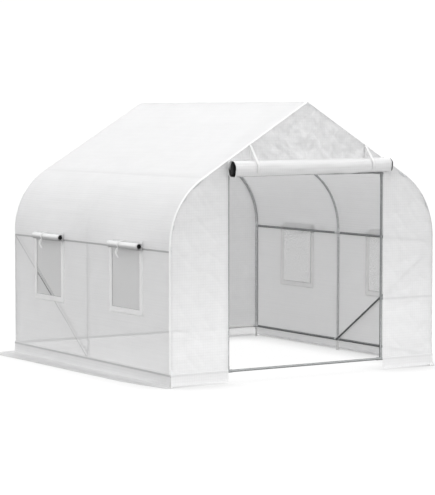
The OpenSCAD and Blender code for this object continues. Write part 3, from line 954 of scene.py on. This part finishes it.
# %% The rolled sheet's tree: the spiral
ROLL_SIZES = ("Width", "Film", "Radius", "Turn pitch", "Tail", "Sag", "Hem", "Crease", "Slip", "Taper",
    "Dark from", "Shade under", "Slump", "Seed")
roll_tree, roll = new_tree("rolled_sheet", {**dict.fromkeys(ROLL_SIZES, "Float"), "Around": "Int",
    "Along": "Int", "Material": "Material"})
grid = put(roll_tree, "GeometryNodeMeshGrid", {"Size X": 1.0, "Size Y": 1.0, "Vertices X": roll["Around"],
    "Vertices Y": roll["Along"]})
grid_x, grid_y, _ = split(roll_tree, put(roll_tree, "GeometryNodeInputPosition").outputs[0])
down = (grid_x + 0.5) * roll["Film"]
along = grid_y * roll["Width"]
wound = (down - roll["Tail"]).math("MAXIMUM", 0.0)
still_up = (roll["Tail"] - down).math("MAXIMUM", 0.0)
square = roll["Radius"] * roll["Radius"] - wound * (roll["Turn pitch"] / math.pi)
radius = square.math("MAXIMUM", 1e-6).math("SQRT")
turn = (roll["Radius"] - radius) * (2 * math.pi / roll["Turn pitch"])
turns = turn / (2 * math.pi)
sine, cosine = turn.math("SINE"), turn.math("COSINE")
print("spiral:", len(roll_tree.nodes), "nodes")

# %% The rolled sheet's tree: folds, hems and uneven ends
loose = (wound * 20.0).math("MINIMUM", 1.0)
crease = texture(roll_tree, "Noise", {"Vector": joined(roll_tree, along * 5.0, cosine, sine),
    "W": roll["Seed"], "Scale": 1.3, "Detail": 2.0}, noise_dimensions="4D")
push = (crease - 0.5) * roll["Crease"] * loose
hemmed = graded(roll["Width"] / 2.0 - along.math("ABSOLUTE"), 0.022, 0.030, 1.0, 0.0)
bulk = hemmed * roll["Hem"] * loose
full = (radius + (push + bulk)) * (1.0 + roll["Taper"] * grid_y)
ragged = texture(roll_tree, "Noise", {"W": down * 6.0 + roll["Seed"], "Scale": 1.0, "Detail": 2.0},
    noise_dimensions="1D")
stretch = 1.0 + (ragged - 0.5) * (0.012 / roll["Width"])
slid = roll["Slip"] * (turns - 0.9).math("MAXIMUM", 0.0).math("MINIMUM", 1.0)
hung = (1.0 - (grid_y * 2.0).math("ABSOLUTE").math("POWER", 2.0)) * (roll["Sag"] * loose)
lower = sine.math("MAXIMUM", 0.0) * roll["Slump"]
across = cosine.math("SIGN") * cosine.math("ABSOLUTE").math("POWER", 1.0 - lower)
below = sine * (1.0 + lower * 0.28)
bent = joined(roll_tree, full * across * -1.0, along * stretch - slid, still_up - full * below - hung)

# %% The rolled sheet's tree: what its material needs, and the end
# Painted shade: the inner turns past Dark from go almost black, and the underside of the outer turn is
# darkened, painted shade as well.
inner = graded(turns, roll["Dark from"], roll["Dark from"] + 0.1, 0.0, 1.0)
shaded_under = graded(sine, -0.15, 0.25, 0.0, roll["Shade under"])
marked = put(roll_tree, "GeometryNodeStoreNamedAttribute", {"Geometry": grid.outputs["Mesh"], "Name": "Cut",
    "Value": joined(roll_tree, along, down)}, data_type="FLOAT2", domain="CORNER")
shaded = put(roll_tree, "GeometryNodeStoreNamedAttribute", {"Geometry": marked.outputs[0], "Name": "thin",
    "Value": inner.math("MAXIMUM", shaded_under)}, data_type="FLOAT", domain="POINT")
rolled = put(roll_tree, "GeometryNodeSetPosition", {"Geometry": shaded.outputs[0], "Position": bent})
smooth = put(roll_tree, "GeometryNodeSetShadeSmooth", {"Geometry": rolled.outputs[0]})
finish_tree(roll_tree, smooth.outputs[0], roll["Material"])


# %% The door, rolled up
def rolled_piece(name, node, size, place, turned_by, values, tilt=0.0):
    """A rolled sheet of this flat size. turned_by turns it on its seam and tilt lowers one end."""
    width, film = size
    piece = run_tree(roll_tree, name, values | {"Width": width, "Film": film, "Material": rolled_film})
    turn_and_tilt = Matrix.Rotation(-tilt, 4, "Y") @ Matrix.Rotation(turned_by, 4, "Z")
    piece.data.transform(Matrix.Translation(place) @ turn_and_tilt)
    thicken(piece, ROLL_THICK)
    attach(piece, "root")
    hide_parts(node)
    print(f"{name}: {len(piece.data.polygons)} faces, {width:.2f} x {film:.2f} m of film")


ROLL_THICK, DOOR_PITCH, FLAP_PITCH = 0.0010, 0.0045, 0.004
TAPER, TILT = -0.12, 0.0075  # the roll gets 12% thinner over its width and slopes a little
low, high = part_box("door_roll")
door_wide = high.x - low.x
door_r = (high.y - low.y - 0.002 + DOOR_PITCH / 2) / 2
door_inner_r = door_r - 0.0035
door_axis = Vector((0, low.y + door_r - DOOR_PITCH / 2, low.z + door_r - DOOR_PITCH / 4))
rolled_piece("rolled_door", "door_roll", (door_wide, high.z - rail_z), door_axis, -math.pi / 2,
    {"Radius": door_inner_r, "Turn pitch": DOOR_PITCH, "Tail": high.z - door_axis.z, "Sag": 0.004,
    "Hem": 0.0025, "Crease": 0.012, "Slip": -0.016, "Taper": TAPER, "Dark from": 0.95, "Shade under": 0.0,
    "Slump": 0.7, "Around": 190, "Along": 90, "Seed": 3.0}, TILT)

# %% The four flaps, rolled up
FLAP_OFF = 0.0035
flaps = {}
for side, word in SIDES:
    node = f"{word}_window_flaps"
    low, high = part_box(node)
    depth = max(abs(low.x), abs(high.x)) - wall_high.x
    flap_r = (depth - FLAP_OFF + FLAP_PITCH / 2) / 2
    axis_x, axis_z = wall_high.x + FLAP_OFF + flap_r, low.z + flap_r - FLAP_PITCH / 4
    for (a, b), row in zip(spans(node, 1), ROWS):
        axis = Vector((side * axis_x, (a + b) / 2, axis_z))
        flaps[side, row] = (axis, flap_r, b - a)
        rolled_piece(f"{word}_{row}_rolled_flap", node, (b - a, high.z - sill_z + TAPE), axis,
            0 if side > 0 else math.pi, {"Radius": flap_r - 0.0015, "Turn pitch": FLAP_PITCH,
            "Tail": high.z - axis_z, "Sag": 0.001, "Hem": 0.0008, "Crease": 0.004, "Slip": -side * 0.005,
            "Dark from": 2.4, "Shade under": 0.34, "Slump": 0.0, "Around": 120, "Along": 34,
            "Seed": 11.0 + side + a})

# %% [markdown]
# ## Straps and ties
#
# The door roll hangs in two loops of webbing that are sewn under the edge of the roof, and each
# flap is held by a tape tied round it. A strap is a path with a width: the path starts at the
# seam, meets the roll along a tangent, goes round its front and comes back up behind it.


# %% Webbing along a path
def ribbon(name, path, across, width, thick, closed, node):
    """A flat band along a path of points. across is the direction of its width."""
    across = Vector(across).normalized()
    runs = [0.0]
    for p, q in zip(path, path[1:]):
        runs.append(runs[-1] + (q - p).length)
    where = dict(zip(runs, path))
    shape = sheet_grid([-width / 2, -width / 6, width / 6, width / 2], runs,
        lambda u, v: where[v] + across * u, closed=closed)
    band = make_piece(name, shape, webbing, thick=thick)
    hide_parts(node)


def loop_path(centre, r, top, out):
    """A loop round a roll, hung from a point above its back. out is the way from the wall."""
    rise = top - centre.z
    lean = math.atan2(rise, r)
    seam = centre - out * r + Vector((0, 0, rise))
    turns = [2 * lean + (2 * math.pi - 2 * lean) * k / 30 for k in range(31)]
    around = [centre - out * r * math.cos(turn) + Vector((0, 0, r * math.sin(turn))) for turn in turns]
    return ([seam.lerp(around[0], k / 6) for k in range(6)] + around
        + [around[-1].lerp(seam, k / 6) for k in range(1, 7)])


# %% Door straps
strap_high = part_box("door_ties")[1].z
for (a, b), (_, word), slip, rise in zip(spans("door_ties", 0), SIDES, (0.0, 0.02), (0.030, 0.012)):
    x = (a + b) / 2 + slip
    centre = Vector((x, door_axis.y, door_axis.z + TILT * x))
    near_r = door_inner_r * (1 + TAPER * centre.x / door_wide) + 0.0041
    path = loop_path(centre, near_r, strap_high + rise, Vector((0, -1, 0)))
    ribbon(f"{word}_door_strap", path, (1, 0, 0), b - a, 0.0022, True, "door_ties")

# %% Flap ties and their loose ends
TIE_WIDE, TIE_THICK = 0.014, 0.0012
for (side, row), (axis, r, long) in flaps.items():
    name = f"{dict(SIDES)[side]}_{row}_tie"
    out = Vector((side, 0, 0))
    spot = axis + Vector((0, long * 0.125, 0))
    path = loop_path(spot, r + TIE_THICK, axis.z + 1.2 * r, out)
    ribbon(name, path, (0, 1, 0), TIE_WIDE, TIE_THICK, True, "window_ties")
    for word, drop, drift, twist in (("long", 0.074, 0.018, 0.5), ("short", 0.044, -0.014, -0.4)):
        tail = [spot + out * (r * 0.75 + 0.006 + 0.006 * math.sin(k / 10 * 2.5))
            + Vector((0, drift * math.sin(k / 10 * 4.2), -r * 0.72 - drop * k / 10)) for k in range(11)]
        ribbon(f"{name}_{word}_end", tail, (side * twist, 1, 0), TIE_WIDE, 0.0014, False, "window_ties")

# %% [markdown]
# ## Skirts
#
# Below the base rails the film goes on as a skirt. Beside the doorway it hangs straight to the
# ground, and along the walls and the rear it turns out over the ground, where soil or stones
# hold it down. Each skirt is one sheet: a drop with a soft fold at its foot and a flap that lies
# in shallow waves and grows wider towards the rear. The rear skirt's film is the clearest.

# %% How a skirt hangs
FOOT, FOOT_R = 0.012, 0.010  # the height of the fold at the foot, and its radius
SKIRT_TOP = rail_z + 0.012
DROP = SKIRT_TOP - FOOT - FOOT_R
QUARTER = FOOT_R * math.pi / 2


def skirt(name, start, end, out, nodes, flap, spread=(0.0, 0.0), seed=1.0, film=skirt_film):
    """A skirt from start to end along the base. flap(u) is the width on the ground at distance u,
    and spread is how far the flap's ends reach past the wall, as shares of that width."""
    start, end, out = Vector((*start, 0)), Vector((*end, 0)), Vector((*out, 0))
    run = (end - start).length
    way = (end - start) / run
    full = DROP + QUARTER + max(flap(run * k / 20) for k in range(21))
    lies_out = full > DROP + QUARTER

    def place(u, w):
        wave = folds(u, w, 90, 0.5, 0.14, seed) + 0.5 * folds(u, w, 78, 0.3, 0.05, seed + 2)
        if w <= DROP:
            off = 0.0022 + (0.006 * wave + 0.004) * (w / DROP) ** 2
            return start + way * u + out * off + Vector((0, 0, SKIRT_TOP - w))
        lying = (w - DROP) / (full - DROP) * (QUARTER + flap(u))
        turn = min(lying / FOOT_R, math.pi / 2)
        past = max(0.0, lying - QUARTER)
        off = 0.0062 + 0.006 * wave + FOOT_R * (1 - math.cos(turn)) + past
        near = [unit(1 - u / 0.25), unit(1 - (run - u) / 0.25)]
        shift = off * (spread[1] * near[1] ** 2 - spread[0] * near[0] ** 2)
        settled = unit(past / 0.03)
        lift = 0.5 + 0.5 * folds(u, past, 88, 0.16, 0.09, seed + 5)
        level = FOOT * (1 - settled) + 0.0015 + 0.007 * lift * settled
        z = max(0.0012, level + FOOT_R * (1 - math.sin(turn)))
        return start + way * (u + shift) + out * off + Vector((0, 0, z))

    if lies_out:
        ws = stations(0, DROP, 0.012) + [DROP + (full - DROP) * k / 14 for k in range(1, 15)]
        mean = sum(flap(run * (k + 0.5) / 20) for k in range(20)) / 20
    else:
        ws = stations(0, SKIRT_TOP - FOOT, 0.011)
    shape = sheet_grid(stations(0, run, FINE), ws, place, flip=way.cross(out).z > 0)
    piece = make_piece(name, shape, film)
    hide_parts(*nodes)


def widening(u):
    """The width of a side skirt's flap, which grows towards the rear."""
    return 0.02 + 0.07 * min(1.0, u / 0.5) + 0.06 * u / 2.5


# %% The skirts
side_x, end_y = wall_high.x - 0.0005, wall_low.y + 0.0005
for (side, word), seed in zip(SIDES, (2.2, 8.1)):
    skirt(f"{word}_skirt_sheet", (side * side_x, end_y), (side * side_x, -end_y), (side, 0),
        ["side_skirts", "side_skirt_flaps"], widening, spread=(0.0, 0.8), seed=seed)
skirt("rear_skirt_sheet", (side_x, -end_y), (-side_x, -end_y), (0, 1), ["end_skirts", "rear_skirt_flap"],
    lambda u: 0.10, spread=(0.8, 0.8), seed=5.3, film=rear_skirt_film)
for word, a, b in (("left", -side_x, -panel_x), ("right", door_right, side_x)):
    skirt(f"{word}_front_skirt_sheet", (a, end_y), (b, end_y), (0, -1), ["end_skirts"], lambda u: 0.0,
        seed=a * 3, film=front_skirt_film)

# %% [markdown]
# ## Stitching
#
# Long rows of equal small things are made with Geometry Nodes: one short thread is copied along
# every seam line, where the hems, the window tapes and the door's edges are sewn down. The copies
# are made real at the end, because an exported model holds no instances.

# %% The stitches' tree
stitch_tree, stitch = new_tree("stitches", {"Pitch": "Float", "Long": "Float", "Thick": "Float",
    "Material": "Material"})
curve = put(stitch_tree, "GeometryNodeMeshToCurve", {0: stitch["Geometry"]})
rowed = put(stitch_tree, "GeometryNodeCurveToPoints", {"Curve": curve.outputs[0],
    "Length": stitch["Pitch"]}, mode="LENGTH")
bead = put(stitch_tree, "GeometryNodeMeshUVSphere", {"Segments": 5, "Rings": 3, "Radius": 0.5})
copies = put(stitch_tree, "GeometryNodeInstanceOnPoints", {"Points": rowed.outputs["Points"],
    "Instance": bead.outputs["Mesh"], "Rotation": rowed.outputs["Rotation"],
    "Scale": joined(stitch_tree, stitch["Thick"], stitch["Thick"], stitch["Long"])})
finish_tree(stitch_tree, copies.outputs[0], stitch["Material"])

# %% Stitches along the seams
thread = tape_material("thread", 0.93, glow=0.0, rough=0.6, rib=900)
for end in (-1, 1):
    for past in (-0.004, turned - 0.001):
        seams.append([on_cover(end * (hoop_y + past), s, 0.0020) for s in stations(0, 2 * HALF, 0.03)])
post_x = panel_x + 0.018  # the line where the panels are sewn beside the doorway
for side, _ in SIDES:
    seams.append([Vector((side * post_x, -hoop_y - cloth_gap - front_folds(post_x, z) - 0.0008, z))
        for z in stations(base_z, header_z, 0.03)])
seam_points, seam_edges = [], []
for row in seams:
    first = len(seam_points)
    seam_points += row
    seam_edges += [(first + k, first + k + 1) for k in range(len(row) - 1)]
stitches = run_tree(stitch_tree, "stitches", {"Pitch": 0.009, "Long": 0.0065, "Thick": 0.0011,
    "Material": thread}, seam_points, seam_edges)
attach(stitches, "root")
print("stitches:", len(stitches.data.polygons), "faces")

# %% Finish: the sizes before and after
low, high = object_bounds()
{"cad": [list(cad_low), list(cad_high)], "visual": [list(low), list(high)]}
print("size before", tuple(cad_low), tuple(cad_high), "after", tuple(low), tuple(high))
